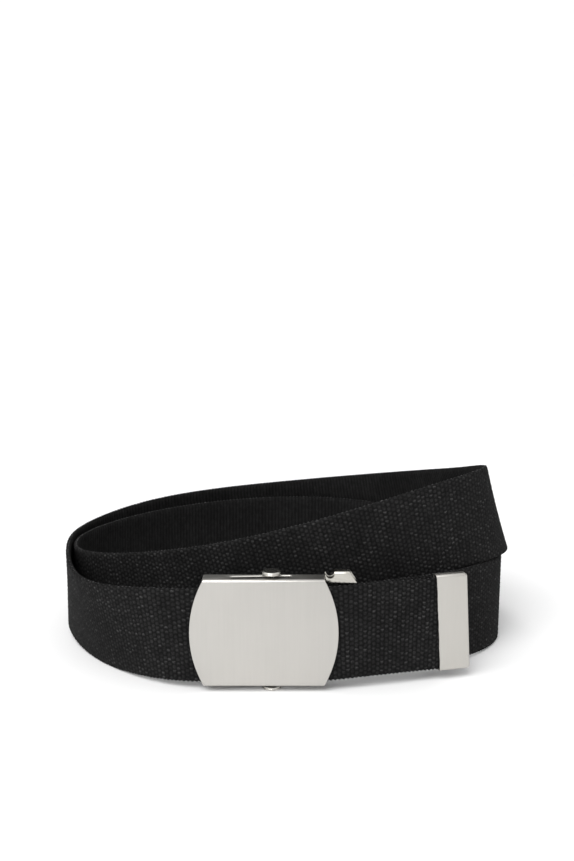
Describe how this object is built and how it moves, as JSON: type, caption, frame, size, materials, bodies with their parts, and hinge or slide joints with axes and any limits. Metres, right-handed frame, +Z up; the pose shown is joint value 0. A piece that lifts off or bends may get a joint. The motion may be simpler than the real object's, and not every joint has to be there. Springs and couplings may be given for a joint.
{
  "type": "web belt",
  "caption": "Black woven web belt with a satin metal box buckle and metal strap tip, fastened and wound in two turns, standing on its edge.",
  "frame": {"origin": "on the floor, under the middle of the whole wound belt", "axes": "+Z up, -Y out of the buckle's face, +X along the strap towards its free end"},
  "size_m": [0.1964, 0.1662, 0.0772],
  "materials": {
    "webbing": "matt black woven webbing",
    "satin_nickel": "satin nickel plate",
    "tip_metal": "satin nickel plate"
  },
  "bodies": {
    "root": {"strap": "webbing", "buckle_case": "satin_nickel", "friction_roller": "satin_nickel", "end_clamp": "satin_nickel", "strap_tip": "tip_metal"}
  },
  "joints": []
}
